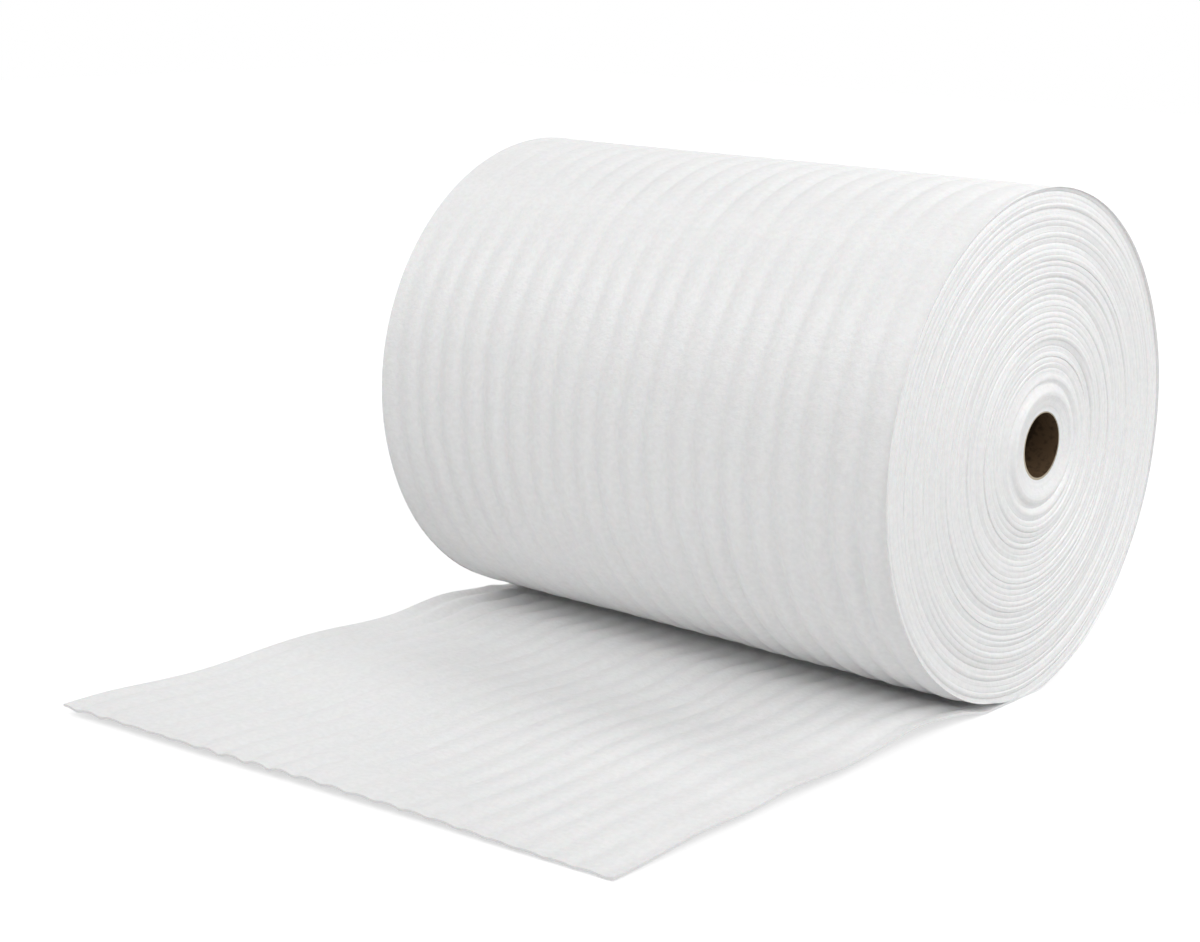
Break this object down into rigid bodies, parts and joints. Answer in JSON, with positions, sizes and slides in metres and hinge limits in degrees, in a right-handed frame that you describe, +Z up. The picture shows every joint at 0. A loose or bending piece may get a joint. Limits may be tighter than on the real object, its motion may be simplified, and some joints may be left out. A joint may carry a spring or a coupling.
{
  "type": "foam wrap roll",
  "caption": "Wide roll of thin ribbed white foam sheet wound on a cardboard core, lying on its side with the free end laid out flat in front.",
  "frame": {"origin": "centre of the footprint of the roll and its free end, on the floor", "axes": "+X along the roll's axis, +Y from the free end towards the roll, +Z up"},
  "size_m": [0.75, 1.0924, 0.5972],
  "materials": {
    "foam": "soft white closed-cell foam, matt with a faint sheen",
    "core_board": "brown kraft board, wound in a spiral"
  },
  "bodies": {
    "root": {"foam_web": "foam", "core_tube": "core_board"}
  },
  "joints": []
}
